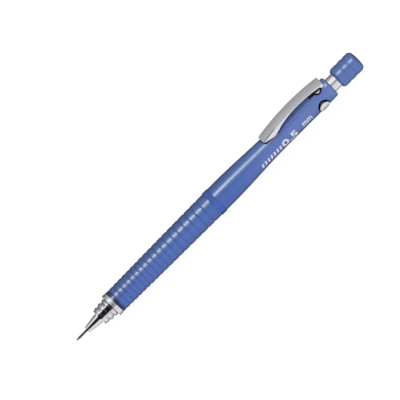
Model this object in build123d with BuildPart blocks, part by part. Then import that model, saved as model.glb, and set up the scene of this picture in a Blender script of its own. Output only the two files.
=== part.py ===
from build123d import *

import os
from math import asin, cos, degrees, radians, sin

# A 0.5 mm mechanical pencil with a knock button, as its separate pieces, in millimetres.
#
# The pencil lies along X. X = 0 is the front opening of the lead sleeve, the writing end points
# along -X and the knock button along +X. The clip is on the +Z side. A radius is measured from
# the X axis, and a pair such as (front, rear) holds two places along X.

# ---- lead ----
LEAD_R = 0.28  # a nominal 0.5 mm lead is 0.56 mm thick
LEAD_LENGTH = 60.0
LEAD_OUT = 1.0  # how far the lead stands out of its sleeve
LEAD_BEVEL = 0.08

# ---- fits ----
PRESS_GAP = 0.005  # radial gap drawn between two pressed or glued pieces
SLIDE_GAP = 0.02  # radial gap of a close running fit
LOOSE_GAP = 0.06  # radial gap of a free running fit
END_GAP = 0.03  # gap along X between a seated piece and its neighbour

# ---- nose ----
SLEEVE_R = 0.45
SLEEVE_RIM = 0.05
SLEEVE_OUT = 4.3  # length of sleeve in front of the cone
SHANK = (4.4, 8.2)  # thicker rear of the sleeve, held inside the cone
SHANK_R = 0.62
CONE_FRONT_R = 1.16
CONE_RIM = 0.13  # bevel round the cone's front edge
CONE_MID = (7.6, 1.74)  # x and radius half way along the bulged cone
CONE_REAR = (10.7, 2.12)  # x and radius where the cone meets the first bead
BEADS = ((11.05, 12.65, 3.50), (13.05, 14.85, 3.72), (15.20, 16.85, 3.85))  # front, rear, radius
BEAD_FRONT_DROP = 0.45  # how far a bead's rounded face falls to its front edge
BEAD_REAR_DROP = 0.25
BEAD_CREST = 0.55  # from a bead's front to its highest line
BEAD_ROOT_R = 3.20
BEAD_CORE_R = 2.8
FLANGE_X = 16.85
FLANGE_R = 4.93
FLANGE_EDGE = 0.14
THREAD_R = 3.5
THREAD_PITCH = 0.75
THREAD_DEPTH = 0.3
THREAD_START_X = 19.7
THREAD_TURNS = 7
SPIGOT_END_X = 25.4
SPIGOT_BORE_R = 2.6
RETAINER = (8.25, 10.25)
RETAINER_R = 1.15
RETAINER_BEVEL = 0.2
CAVITY_RAMP = (11.3, 11.9)  # where the bore widens from the retainer's seat to the jaws' cavity
JAW_CAVITY_R = 1.98
RING_STOP_X = 17.25  # shoulder that stops the clutch ring

# ---- clutch ----
JAWS = (14.8, 17.4)
JAW_R = 1.9
JAW_NOSE = (0.45, 0.35)  # bevel of the jaws' front, along and across
JAW_MOUTH = (0.4, 0.12)  # flare where the lead leaves the jaws, along and across
STEM = (19.4, 40.9)
STEM_R = 1.28
STEM_BORE_R = 0.6
STEM_BORE_RAMP = 0.2  # half the length over which the bore widens behind the jaws
SLIT_END_X = 30.0
SLIT_WIDTH = 0.35
CLUTCH_RING = (18.5, 20.95)
CLUTCH_RING_R = 2.05
CLUTCH_RING_BEVEL = 0.15
HOUSING = (17.5, 46.3)
HOUSING_NOSE_R = 2.5
HOUSING_R = 3.0
HOUSING_FLANGE = (25.45, 26.35)
HOUSING_FLANGE_R = 3.45
HOUSING_GAP = 0.05  # clearance round the housing and round the clutch ring in it
WEB_BORE_R = 1.45  # hole for the stem in the housing's web
SPRING_SEAT_X = 24.0
SPRING_BORE_R = 2.4
WIRE_R = 0.18
COIL_R = 1.9
COILS = 9

# ---- magazine and button ----
COUPLER_X = 36.2
COUPLER_R = 1.6
COUPLER_FLANGE = (38.0, 39.3)
COUPLER_END_X = 45.5
COUPLER_RIM = 0.1  # how far its flange stands out beyond the magazine
FUNNEL = (0.5, 1.5)  # front and rear radius of the coupler's funnel
FUNNEL_X = 42.2
TUBE = (39.35, 121.5)
TUBE_R = 2.2
TUBE_BORE_R = 1.8
SPARE_LEAD_ANGLES = (154, 180, 206)  # round from the clip: they lie along the bottom
SPARE_LEAD_X = 46.5
PIPE = (118.5, 141.0)
PIPE_R = 3.0
PIPE_BORE_R = 2.65
PIPE_BEVEL = 0.3
ERASER = (133.4, 143.3)
ERASER_R = 2.4
ERASER_EDGE = 0.5
ERASER_CUP = (130.6, 138.6)
PIN_R = 0.22
PIN_LENGTH = 17.0
PIN_SEAT = 1.5  # how deep the pin sits in the cup
PIN_TIP = 0.15
CAP = (134.25, 145.1)
CAP_R = 4.27
CAP_END_R = 2.55  # radius of the button's domed end face
CAP_DOME = 0.18
CAP_GATE_R = 0.4  # moulding gate, sunk in the middle of the end face
CAP_GATE_DEPTH = 0.06
CAP_REAR_EDGE = 1.7  # length of its rounded rear edge
CAP_FRONT_R = 3.3
CAP_FRONT_EDGE = 1.6  # length of its rounded front edge
CAP_WAISTS = (138.2, 141.0)  # two shallow grooves round the button
CAP_WAIST_DEPTH = 0.17
CAP_WAIST_CUTTER_R = 0.72
CAP_CAVITY_R = 2.8
CAP_CAVITY_END_X = 143.9

# ---- barrel ----
BARREL = (18.70, 130.2)
BARREL_FRONT_R = 4.72
GRIP_MID = (43.0, 5.03)  # x and radius of the grip's bowed middle
GRIP_REAR_R = 5.24
FIRST_GROOVE_X = 20.25
GROOVES = 19
EVEN_GROOVES = 8  # this many at the front are evenly pitched
GROOVE_PITCH = 2.135
GROOVE_PITCH_STEP = 0.1  # behind them, each gap grows by this much
GROOVE_DEPTH = 0.2
GROOVE_CUTTER_R = 0.45
RING = (69.6, 72.0)
RING_R = 5.46
RING_EDGE = 0.12
BODY_R = 5.27
TAPER = (76.0, 104.0)
REAR_R = 4.41
THREAD_BORE_R = 3.55
BODY_BORE_R = 3.3
SHOULDER = (46.4, 47.6)  # inner step that holds the clutch housing
SHOULDER_R = 2.5
SHOULDER_RAMP = 1.0
BAND_SEAT_X = 118.0
BAND_SEAT_R = 3.80
COLLAR_END_X = 131.15
COLLAR_CORNER = 0.9
BUSH_X = 118.8

# ---- clip and its band ----
SIDE_ANGLE = 103.0  # side windows, round from the clip
SIDE_X = 124.25
SIDE_WINDOW_R = 2.65
TOP_WINDOW_X = 126.1
TOP_WINDOW = (3.9, 5.5)  # along the pencil, across it
TOP_SLOT_X = 122.0  # front end of the slot that runs forward from the top window
TOP_SLOT_WIDTH = 3.2
BAND = (120.9, 129.9)
BAND_R = (3.42, 3.77)  # inner and outer radius
BAND_SLIT = 1.8
BOSS_TOP_R = 4.85
SIDE_BOSS_R = 2.3
TOP_BOSS = (3.3, 5.0)  # along the pencil, across it
BOSS_EDGE = 0.25
CLIP_WIDTH = 4.4
CLIP_THICK = 0.45
CLIP_TIP = (98.8, 5.80)  # x and z of the outer face at the free end
CLIP_CROWN = (114.2, 7.66)
CLIP_ROOT = (129.5, 6.35)
CLIP_FOOT = (103.3, 3.86)  # x and z of the lowest point of the side walls
CLIP_HEEL = (105.2, 4.36)  # the side walls' lower edge, from the foot to the ears
CLIP_RISE = (109.0, 5.78)
CLIP_WALL_MID = (115.0, 6.78)
CLIP_WALL_REAR = (122.5, 6.5)
CLIP_EAR_TOP = (127.6, 5.5)  # the walls run down beside the root as two ears
CLIP_EAR = (128.7, 4.3)  # x where the ears' lower edge starts, and its z
CLIP_EDGE_R = 0.4
CLIP_CLEAR = 0.03  # least gap between the clip and the barrel
NECK = (124.6, 127.6)
NECK_WIDTH = 2.4
NECK_CORNER = 0.5

os.makedirs("parts", exist_ok=True)


def turn(*profile, mode=Mode.ADD):
    """Revolves the area between an (x, radius) profile and the X axis into the open part."""
    front_x = profile[0][0]
    rear_x = profile[-1][0]
    with BuildSketch(Plane.XZ) as face:
        with BuildLine():
            Polyline((front_x, 0), *profile, (rear_x, 0), close=True)
        make_face()
    revolve(face.sketch, axis=Axis.X, mode=mode)


def outward(x, angle):
    """A plane on the X axis that faces outward, angle degrees round from the clip's side."""
    direction = (0, -sin(radians(angle)), cos(radians(angle)))
    return Plane(origin=(x, 0, 0), x_dir=(1, 0, 0), z_dir=direction)


# ---- lead: the lead in use ----
with BuildPart() as lead:
    turn((-LEAD_OUT, LEAD_R), (LEAD_LENGTH - LEAD_OUT, LEAD_R))
    chamfer(lead.edges().group_by(Axis.X)[0], LEAD_BEVEL)
lead.part.label = "lead"
export_step(lead.part, "parts/lead.step")

# ---- lead_sleeve: thin pipe with an eased rim and a thicker shank ----
with BuildPart() as lead_sleeve:
    turn((0, SLEEVE_R), (SHANK[0], SLEEVE_R), (SHANK[0], SHANK_R), (SHANK[1], SHANK_R))
    chamfer(lead_sleeve.edges().group_by(Axis.X)[0], SLEEVE_RIM)
    turn((0, LEAD_R + SLIDE_GAP), (SHANK[1], LEAD_R + SLIDE_GAP), mode=Mode.SUBTRACT)
lead_sleeve.part.label = "lead_sleeve"
export_step(lead_sleeve.part, "parts/lead_sleeve.step")

# ---- tip_cone: turned nose with a bulged cone, three rounded beads, a flange and a thread ----
with BuildPart() as tip_cone:
    with BuildSketch(Plane.XZ):
        with BuildLine():
            rim = Polyline(
                (SLEEVE_OUT, 0),
                (SLEEVE_OUT, CONE_FRONT_R - CONE_RIM),
                (SLEEVE_OUT + CONE_RIM, CONE_FRONT_R),
            )
            ThreePointArc(rim @ 1, CONE_MID, CONE_REAR)
            Polyline(
                CONE_REAR,
                (CONE_REAR[0], BEAD_ROOT_R),
                (FLANGE_X, BEAD_ROOT_R),
                (FLANGE_X, FLANGE_R - FLANGE_EDGE),
                (FLANGE_X + FLANGE_EDGE, FLANGE_R),
                (BARREL[0], BARREL_FRONT_R),
                (BARREL[0], THREAD_R),
                (SPIGOT_END_X, THREAD_R),
                (SPIGOT_END_X, 0),
                (SLEEVE_OUT, 0),
            )
        make_face()
    revolve(axis=Axis.X)
    for front, rear, radius in BEADS:
        front_edge = (front, radius - BEAD_FRONT_DROP)
        rear_edge = (rear, radius - BEAD_REAR_DROP)
        with BuildSketch(Plane.XZ):
            with BuildLine():
                Polyline(front_edge, (front, BEAD_CORE_R), (rear, BEAD_CORE_R), rear_edge)
                ThreePointArc(front_edge, (front + BEAD_CREST, radius), rear_edge)
            make_face()
        revolve(axis=Axis.X)
    for thread_turn in range(THREAD_TURNS):
        valley_x = THREAD_START_X + thread_turn * THREAD_PITCH
        with BuildSketch(Plane.XZ):
            with Locations((valley_x, THREAD_R)):
                Rectangle(THREAD_DEPTH * 2**0.5, THREAD_DEPTH * 2**0.5, rotation=45)
        revolve(axis=Axis.X, mode=Mode.SUBTRACT)
    turn(
        (SLEEVE_OUT, SLEEVE_R + PRESS_GAP),
        (SHANK[0] - PRESS_GAP, SLEEVE_R + PRESS_GAP),
        (SHANK[0] - PRESS_GAP, SHANK_R + PRESS_GAP),
        (RETAINER[0] - END_GAP, SHANK_R + PRESS_GAP),
        (RETAINER[0] - END_GAP, RETAINER_R),
        (CAVITY_RAMP[0], RETAINER_R),
        (CAVITY_RAMP[1], JAW_CAVITY_R),
        (RING_STOP_X, JAW_CAVITY_R),
        (RING_STOP_X, SPIGOT_BORE_R),
        (SPIGOT_END_X, SPIGOT_BORE_R),
        mode=Mode.SUBTRACT,
    )
tip_cone.part.label = "tip_cone"
export_step(tip_cone.part, "parts/tip_cone.step")

# ---- lead_retainer: rubber ring in the nose that holds the lead while the jaws are open ----
with BuildPart() as lead_retainer:
    turn((RETAINER[0], RETAINER_R - PRESS_GAP), (RETAINER[1], RETAINER_R - PRESS_GAP))
    chamfer(lead_retainer.edges().group_by(Axis.X)[-1], RETAINER_BEVEL)
    turn((RETAINER[0], LEAD_R + PRESS_GAP), (RETAINER[1], LEAD_R + PRESS_GAP), mode=Mode.SUBTRACT)
lead_retainer.part.label = "lead_retainer"
export_step(lead_retainer.part, "parts/lead_retainer.step")

# ---- chuck: brass collet, three jaws on a slit stem ----
with BuildPart() as chuck:
    turn(
        (JAWS[0], JAW_R - JAW_NOSE[1]),
        (JAWS[0] + JAW_NOSE[0], JAW_R),
        (JAWS[1], JAW_R),
        (STEM[0], STEM_R),
        (STEM[1], STEM_R),
    )
    turn(
        (JAWS[0], LEAD_R + JAW_MOUTH[1]),
        (JAWS[0] + JAW_MOUTH[0], LEAD_R + PRESS_GAP),
        (JAWS[1] - STEM_BORE_RAMP, LEAD_R + PRESS_GAP),
        (JAWS[1] + STEM_BORE_RAMP, STEM_BORE_R),
        (STEM[1], STEM_BORE_R),
        mode=Mode.SUBTRACT,
    )
    for slit_angle in (0, 120, 240):
        with BuildSketch(outward((JAWS[0] + SLIT_END_X) / 2, slit_angle)):
            Rectangle(SLIT_END_X - JAWS[0], SLIT_WIDTH)
        extrude(amount=JAW_R + 1, mode=Mode.SUBTRACT)
chuck.part.label = "chuck"
export_step(chuck.part, "parts/chuck.step")

# ---- clutch_ring: brass ring whose conical mouth closes the jaws ----
JAW_SLOPE = (JAW_R - STEM_R) / (STEM[0] - JAWS[1])
MOUTH_R = JAW_R - JAW_SLOPE * (CLUTCH_RING[0] - JAWS[1]) + SLIDE_GAP
with BuildPart() as clutch_ring:
    turn((CLUTCH_RING[0], CLUTCH_RING_R), (CLUTCH_RING[1], CLUTCH_RING_R))
    chamfer(clutch_ring.edges().group_by(Axis.X)[-1], CLUTCH_RING_BEVEL)
    turn(
        (CLUTCH_RING[0], MOUTH_R),
        (STEM[0], STEM_R + SLIDE_GAP),
        (CLUTCH_RING[1], STEM_R + SLIDE_GAP),
        mode=Mode.SUBTRACT,
    )
clutch_ring.part.label = "clutch_ring"
export_step(clutch_ring.part, "parts/clutch_ring.step")

# ---- clutch_sleeve: housing clamped between the nose's spigot and a step in the barrel ----
with BuildPart() as clutch_sleeve:
    turn(
        (HOUSING[0], HOUSING_NOSE_R),
        (HOUSING_FLANGE[0], HOUSING_NOSE_R),
        (HOUSING_FLANGE[0], HOUSING_FLANGE_R),
        (HOUSING_FLANGE[1], HOUSING_FLANGE_R),
        (HOUSING_FLANGE[1], HOUSING_R),
        (HOUSING[1], HOUSING_R),
    )
    turn(
        (HOUSING[0], CLUTCH_RING_R + HOUSING_GAP),
        (CLUTCH_RING[1] + HOUSING_GAP, CLUTCH_RING_R + HOUSING_GAP),
        (CLUTCH_RING[1] + HOUSING_GAP, WEB_BORE_R),
        (SPRING_SEAT_X, WEB_BORE_R),
        (SPRING_SEAT_X, SPRING_BORE_R),
        (HOUSING[1], SPRING_BORE_R),
        mode=Mode.SUBTRACT,
    )
clutch_sleeve.part.label = "clutch_sleeve"
export_step(clutch_sleeve.part, "parts/clutch_sleeve.step")

# ---- return_spring: round the stem, from the housing's web to the coupler's flange ----
SPRING = (SPRING_SEAT_X + WIRE_R + END_GAP, COUPLER_FLANGE[0] - WIRE_R - END_GAP)
SPRING_LENGTH = SPRING[1] - SPRING[0]
with BuildPart() as return_spring:
    with BuildLine() as coil:
        Helix(
            SPRING_LENGTH / COILS,
            SPRING_LENGTH,
            COIL_R,
            center=(SPRING[0], 0, 0),
            direction=(1, 0, 0),
        )
    with BuildSketch(Plane(origin=coil.line @ 0, z_dir=coil.line % 0)):
        Circle(WIRE_R)
    sweep(is_frenet=True)
return_spring.part.label = "return_spring"
export_step(return_spring.part, "parts/return_spring.step")

# ---- tube_coupler: joins the stem to the magazine and funnels a fresh lead into the stem ----
with BuildPart() as tube_coupler:
    turn(
        (COUPLER_X, COUPLER_R),
        (COUPLER_FLANGE[0], COUPLER_R),
        (COUPLER_FLANGE[0], TUBE_R + COUPLER_RIM),
        (COUPLER_FLANGE[1], TUBE_R + COUPLER_RIM),
        (COUPLER_FLANGE[1], TUBE_BORE_R - PRESS_GAP),
        (COUPLER_END_X, TUBE_BORE_R - PRESS_GAP),
    )
    turn(
        (COUPLER_X, STEM_R + PRESS_GAP),
        (STEM[1] + END_GAP, STEM_R + PRESS_GAP),
        (STEM[1] + END_GAP, FUNNEL[0]),
        (FUNNEL_X, FUNNEL[0]),
        (COUPLER_END_X, FUNNEL[1]),
        mode=Mode.SUBTRACT,
    )
tube_coupler.part.label = "tube_coupler"
export_step(tube_coupler.part, "parts/tube_coupler.step")

# ---- lead_tube: magazine for spare leads ----
with BuildPart() as lead_tube:
    turn((TUBE[0], TUBE_R), (TUBE[1], TUBE_R))
    turn((TUBE[0], TUBE_BORE_R), (TUBE[1], TUBE_BORE_R), mode=Mode.SUBTRACT)
lead_tube.part.label = "lead_tube"
export_step(lead_tube.part, "parts/lead_tube.step")

# ---- spare_leads: three leads side by side along the bottom of the magazine ----
with BuildPart() as spare_leads:
    for lie_angle in SPARE_LEAD_ANGLES:
        down = outward(SPARE_LEAD_X, lie_angle)
        place = down.origin + down.z_dir * (TUBE_BORE_R - LEAD_R - SLIDE_GAP)
        with BuildSketch(Plane(origin=place, z_dir=(1, 0, 0))):
            Circle(LEAD_R)
        extrude(amount=LEAD_LENGTH)
spare_leads.part.label = "spare_leads"
export_step(spare_leads.part, "parts/spare_leads.step")

# ---- knock_pipe: metal pipe between barrel and button, its front end grips the magazine ----
with BuildPart() as knock_pipe:
    turn((PIPE[0], PIPE_R - PIPE_BEVEL), (PIPE[0] + PIPE_BEVEL, PIPE_R), (PIPE[1], PIPE_R))
    turn(
        (PIPE[0], TUBE_R + PRESS_GAP),
        (TUBE[1] + END_GAP, TUBE_R + PRESS_GAP),
        (TUBE[1] + END_GAP, PIPE_BORE_R),
        (PIPE[1], PIPE_BORE_R),
        mode=Mode.SUBTRACT,
    )
knock_pipe.part.label = "knock_pipe"
export_step(knock_pipe.part, "parts/knock_pipe.step")

# ---- eraser: round stick with a softened end ----
with BuildPart() as eraser:
    turn((ERASER[0], ERASER_R), (ERASER[1], ERASER_R))
    fillet(eraser.edges().group_by(Axis.X)[-1], ERASER_EDGE)
eraser.part.label = "eraser"
export_step(eraser.part, "parts/eraser.step")

# ---- eraser_cup: thin cup that holds the eraser and slides into the pipe ----
with BuildPart() as eraser_cup:
    turn((ERASER_CUP[0], PIPE_BORE_R - SLIDE_GAP), (ERASER_CUP[1], PIPE_BORE_R - SLIDE_GAP))
    turn(
        (ERASER_CUP[0], PIN_R + PRESS_GAP),
        (ERASER_CUP[0] + PIN_SEAT, PIN_R + PRESS_GAP),
        mode=Mode.SUBTRACT,
    )
    turn(
        (ERASER[0] - PRESS_GAP, ERASER_R + PRESS_GAP),
        (ERASER_CUP[1], ERASER_R + PRESS_GAP),
        mode=Mode.SUBTRACT,
    )
eraser_cup.part.label = "eraser_cup"
export_step(eraser_cup.part, "parts/eraser_cup.step")

# ---- cleaning_pin: wire in the eraser cup that clears a blocked sleeve ----
PIN_END_X = ERASER_CUP[0] + PIN_SEAT - PRESS_GAP
with BuildPart() as cleaning_pin:
    turn((PIN_END_X - PIN_LENGTH, PIN_R), (PIN_END_X, PIN_R))
    fillet(cleaning_pin.edges().group_by(Axis.X)[0], PIN_TIP)
cleaning_pin.part.label = "cleaning_pin"
export_step(cleaning_pin.part, "parts/cleaning_pin.step")

# ---- push_cap: rounded button pushed over the pipe, closed by a slightly domed end ----
DOME_R = (CAP_END_R**2 + CAP_DOME**2) / (2 * CAP_DOME)
DOME_ANGLE = degrees(asin(CAP_END_R / DOME_R))
with BuildPart() as push_cap:
    with BuildSketch(Plane.XZ):
        with BuildLine():
            dome = JernArc((CAP[1] + CAP_DOME, 0), (0, 1), DOME_R, DOME_ANGLE)
            side = Line((CAP[1] - CAP_REAR_EDGE, CAP_R), (CAP[0] + CAP_FRONT_EDGE, CAP_R))
            TangentArc(side @ 0, dome @ 1, tangent=(1, 0))
            TangentArc(side @ 1, (CAP[0], CAP_FRONT_R), tangent=(-1, 0))
            Polyline((CAP[0], CAP_FRONT_R), (CAP[0], 0), dome @ 0)
        make_face()
    revolve(axis=Axis.X)
    for waist_x in CAP_WAISTS:
        with BuildSketch(Plane.XZ):
            with Locations((waist_x, CAP_R - CAP_WAIST_DEPTH + CAP_WAIST_CUTTER_R)):
                Circle(CAP_WAIST_CUTTER_R)
        revolve(axis=Axis.X, mode=Mode.SUBTRACT)
    with BuildSketch(Plane.YZ.offset(CAP[1] + CAP_DOME)):
        Circle(CAP_GATE_R)
    extrude(amount=-CAP_GATE_DEPTH, mode=Mode.SUBTRACT)
    turn(
        (CAP[0], PIPE_R + SLIDE_GAP),
        (PIPE[1] + END_GAP, PIPE_R + SLIDE_GAP),
        (PIPE[1] + PIPE_R - CAP_CAVITY_R, CAP_CAVITY_R),
        (CAP_CAVITY_END_X, CAP_CAVITY_R),
        mode=Mode.SUBTRACT,
    )
push_cap.part.label = "push_cap"
export_step(push_cap.part, "parts/push_cap.step")


def grip_radius(x):
    """Radius of the bowed grip at x, on the parabola through its front, middle and rear."""
    slope = (GRIP_MID[1] - BARREL_FRONT_R) / (GRIP_MID[0] - BARREL[0])
    rear_slope = (GRIP_REAR_R - GRIP_MID[1]) / (RING[0] - GRIP_MID[0])
    bow = (rear_slope - slope) / (RING[0] - BARREL[0])
    return BARREL_FRONT_R + slope * (x - BARREL[0]) + bow * (x - BARREL[0]) * (x - GRIP_MID[0])


def groove_x(index):
    """Place of a grip groove: evenly pitched at the front, then wider and wider apart."""
    wide = max(0, index - EVEN_GROOVES + 1)
    growth = GROOVE_PITCH_STEP * wide * (wide + 2) / 2
    return FIRST_GROOVE_X + GROOVE_PITCH * index + growth


# ---- barrel: bowed grip with grooves, raised ring, long taper, straight rear with windows ----
with BuildPart() as barrel:
    with BuildSketch(Plane.XZ):
        with BuildLine():
            grip = ThreePointArc((BARREL[0], BARREL_FRONT_R), GRIP_MID, (RING[0], GRIP_REAR_R))
            Polyline(
                grip @ 1,
                (RING[0], RING_R - RING_EDGE),
                (RING[0] + RING_EDGE, RING_R),
                (RING[1] - RING_EDGE, RING_R),
                (RING[1], RING_R - RING_EDGE),
                (RING[1], BODY_R),
                (TAPER[0], BODY_R),
            )
            taper_reach = (TAPER[1] - TAPER[0]) / 3
            Bezier(
                (TAPER[0], BODY_R),
                (TAPER[0] + taper_reach, BODY_R),
                (TAPER[1] - taper_reach, REAR_R),
                (TAPER[1], REAR_R),
            )
            Polyline((TAPER[1], REAR_R), (BARREL[1], REAR_R), (BARREL[1], 0), (BARREL[0], 0), grip @ 0)
        make_face()
    revolve(axis=Axis.X)
    for index in range(GROOVES):
        depth_r = grip_radius(groove_x(index)) - GROOVE_DEPTH
        with BuildSketch(Plane.XZ):
            with Locations((groove_x(index), depth_r + GROOVE_CUTTER_R)):
                Circle(GROOVE_CUTTER_R)
        revolve(axis=Axis.X, mode=Mode.SUBTRACT)
    turn(
        (BARREL[0], THREAD_BORE_R),
        (HOUSING_FLANGE[1] + HOUSING_GAP, THREAD_BORE_R),
        (HOUSING_FLANGE[1] + HOUSING_GAP, HOUSING_R + HOUSING_GAP),
        (SHOULDER[0], HOUSING_R + HOUSING_GAP),
        (SHOULDER[0], SHOULDER_R),
        (SHOULDER[1], SHOULDER_R),
        (SHOULDER[1] + SHOULDER_RAMP, BODY_BORE_R),
        (BAND_SEAT_X, BODY_BORE_R),
        (BAND_SEAT_X, BAND_SEAT_R),
        (BARREL[1], BAND_SEAT_R),
        mode=Mode.SUBTRACT,
    )
    with BuildSketch(outward(TOP_WINDOW_X, 0)):
        SlotOverall(TOP_WINDOW[1], TOP_WINDOW[0], rotation=90)
        with Locations(((TOP_SLOT_X - TOP_WINDOW_X) / 2, 0)):
            Rectangle(TOP_WINDOW_X - TOP_SLOT_X, TOP_SLOT_WIDTH)
    extrude(amount=REAR_R + 1, mode=Mode.SUBTRACT)
    for side in (SIDE_ANGLE, -SIDE_ANGLE):
        with BuildSketch(outward(SIDE_X, side)):
            Circle(SIDE_WINDOW_R)
        extrude(amount=REAR_R + 1, mode=Mode.SUBTRACT)
barrel.part.label = "barrel"
export_step(barrel.part, "parts/barrel.step")

# ---- rear_bush: guides the pipe, keeps the clip band in, and ends in a rounded collar ----
BUSH_R = BAND_R[0] - END_GAP
GUIDE_R = PIPE_R + LOOSE_GAP
with BuildPart() as rear_bush:
    turn(
        (BUSH_X, BUSH_R),
        (BAND[1] + END_GAP, BUSH_R),
        (BAND[1] + END_GAP, BAND_SEAT_R - END_GAP),
        (BARREL[1], BAND_SEAT_R - END_GAP),
        (BARREL[1], REAR_R),
        (COLLAR_END_X, REAR_R),
    )
    fillet(rear_bush.edges().group_by(Axis.X)[-1], COLLAR_CORNER)
    turn((BUSH_X, GUIDE_R), (COLLAR_END_X, GUIDE_R), mode=Mode.SUBTRACT)
rear_bush.part.label = "rear_bush"
export_step(rear_bush.part, "parts/rear_bush.step")

# ---- clip_band: split spring band in the barrel, its three bosses stand in the windows ----
with BuildPart() as clip_band:
    turn((BAND[0], BAND_R[1]), (BAND[1], BAND_R[1]))
    with BuildSketch(outward(TOP_WINDOW_X, 0)):
        SlotOverall(TOP_BOSS[1], TOP_BOSS[0], rotation=90)
    extrude(amount=BOSS_TOP_R + 1)
    for side in (SIDE_ANGLE, -SIDE_ANGLE):
        with BuildSketch(outward(SIDE_X, side)):
            Circle(SIDE_BOSS_R)
        extrude(amount=BOSS_TOP_R + 1)
    with BuildSketch(Plane.YZ.offset(BAND[0])):
        Circle(BOSS_TOP_R)
    extrude(amount=BAND[1] - BAND[0], mode=Mode.INTERSECT)
    boss_tops = clip_band.faces().filter_by(
        lambda face: face.radius is not None and abs(face.radius - BOSS_TOP_R) < 0.01
    )
    fillet(boss_tops.edges(), BOSS_EDGE)
    turn((BAND[0], BAND_R[0]), (BAND[1], BAND_R[0]), mode=Mode.SUBTRACT)
    with BuildSketch(outward(sum(BAND) / 2, 180)):
        Rectangle(BAND[1] - BAND[0], BAND_SLIT)
    extrude(amount=BAND_R[1] + 1, mode=Mode.SUBTRACT)
clip_band.part.label = "clip_band"
export_step(clip_band.part, "parts/clip_band.step")

# ---- clip: arched strip with turned-down edges, a foot near its free end, a neck at its root ----
with BuildPart() as clip:
    with BuildSketch(Plane.XZ):
        with BuildLine():
            arch = ThreePointArc(CLIP_TIP, CLIP_CROWN, CLIP_ROOT)
            Polyline(arch @ 1, (CLIP_ROOT[0], CLIP_EAR[1]), CLIP_EAR, CLIP_EAR_TOP)
            Spline(CLIP_EAR_TOP, CLIP_WALL_REAR, CLIP_WALL_MID, CLIP_RISE, CLIP_HEEL, CLIP_FOOT)
            Line(CLIP_FOOT, (CLIP_TIP[0], CLIP_TIP[1] - CLIP_THICK))
            Line((CLIP_TIP[0], CLIP_TIP[1] - CLIP_THICK), CLIP_TIP)
        make_face()
    extrude(amount=CLIP_WIDTH / 2, both=True)
    fillet(clip.faces().sort_by(Axis.Z)[-1].edges().filter_by(GeomType.CIRCLE), CLIP_EDGE_R)
    with BuildSketch(Plane.XZ):
        with BuildLine():
            inner_arch = ThreePointArc(
                (CLIP_TIP[0] - CLIP_THICK, CLIP_TIP[1] - CLIP_THICK),
                (CLIP_CROWN[0], CLIP_CROWN[1] - CLIP_THICK),
                (CLIP_ROOT[0] + CLIP_THICK, CLIP_ROOT[1] - CLIP_THICK),
            )
            Polyline(
                inner_arch @ 1,
                (CLIP_ROOT[0] + CLIP_THICK, 0),
                (CLIP_TIP[0] - CLIP_THICK, 0),
                inner_arch @ 0,
            )
        make_face()
    extrude(amount=CLIP_WIDTH / 2 - CLIP_THICK, both=True, mode=Mode.SUBTRACT)
    with BuildSketch(Plane.XY.offset(BOSS_TOP_R + SLIDE_GAP)):
        with Locations((sum(NECK) / 2, 0)):
            RectangleRounded(NECK[1] - NECK[0], NECK_WIDTH, NECK_CORNER)
    extrude(until=Until.NEXT)
    clear_r = REAR_R + CLIP_CLEAR
    turn((CLIP_TIP[0], clear_r), (CLIP_ROOT[0], clear_r), mode=Mode.SUBTRACT)
clip.part.label = "clip"
export_step(clip.part, "parts/clip.step")
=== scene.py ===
"""The looks of the mechanical pencil: meshes, materials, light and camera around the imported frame.

Lengths are in millimetres unless a comment says otherwise, x runs along the pencil from its writing
end, and z points to the clip's side. Points become metres where they enter a mesh."""

from math import cos, pi, radians, sin, sqrt, tan

import bmesh
import bpy
from mathutils import Matrix, Vector


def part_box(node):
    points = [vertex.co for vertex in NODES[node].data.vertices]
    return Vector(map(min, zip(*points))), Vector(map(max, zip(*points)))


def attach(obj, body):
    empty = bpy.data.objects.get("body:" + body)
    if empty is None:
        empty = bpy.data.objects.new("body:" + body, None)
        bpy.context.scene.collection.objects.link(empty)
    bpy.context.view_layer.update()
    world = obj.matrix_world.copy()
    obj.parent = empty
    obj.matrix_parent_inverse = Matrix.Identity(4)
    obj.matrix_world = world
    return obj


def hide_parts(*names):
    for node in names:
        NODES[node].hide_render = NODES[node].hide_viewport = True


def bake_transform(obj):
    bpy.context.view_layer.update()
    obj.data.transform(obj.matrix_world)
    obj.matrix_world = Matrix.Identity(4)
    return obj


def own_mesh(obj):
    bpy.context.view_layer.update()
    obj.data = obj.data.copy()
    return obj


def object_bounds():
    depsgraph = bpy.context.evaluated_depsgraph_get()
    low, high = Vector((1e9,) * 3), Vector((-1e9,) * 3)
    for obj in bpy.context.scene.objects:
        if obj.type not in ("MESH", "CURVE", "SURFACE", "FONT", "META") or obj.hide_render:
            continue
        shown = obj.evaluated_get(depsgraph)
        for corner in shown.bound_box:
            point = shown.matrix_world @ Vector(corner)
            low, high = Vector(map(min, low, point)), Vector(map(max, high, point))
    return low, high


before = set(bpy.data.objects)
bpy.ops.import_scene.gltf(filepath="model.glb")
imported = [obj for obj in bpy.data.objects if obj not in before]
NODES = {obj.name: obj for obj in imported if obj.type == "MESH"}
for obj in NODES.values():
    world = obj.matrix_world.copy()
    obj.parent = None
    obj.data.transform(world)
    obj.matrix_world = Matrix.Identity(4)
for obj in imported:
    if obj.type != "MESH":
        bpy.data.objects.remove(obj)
CAD_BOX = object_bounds()

MM = 0.001


# ---- mesh helpers -------------------------------------------------------------------------------
def new_object(name, data):
    """Puts a mesh or other data in the scene under that name."""
    piece = bpy.data.objects.new(name, data)
    bpy.context.scene.collection.objects.link(piece)
    return piece


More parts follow.
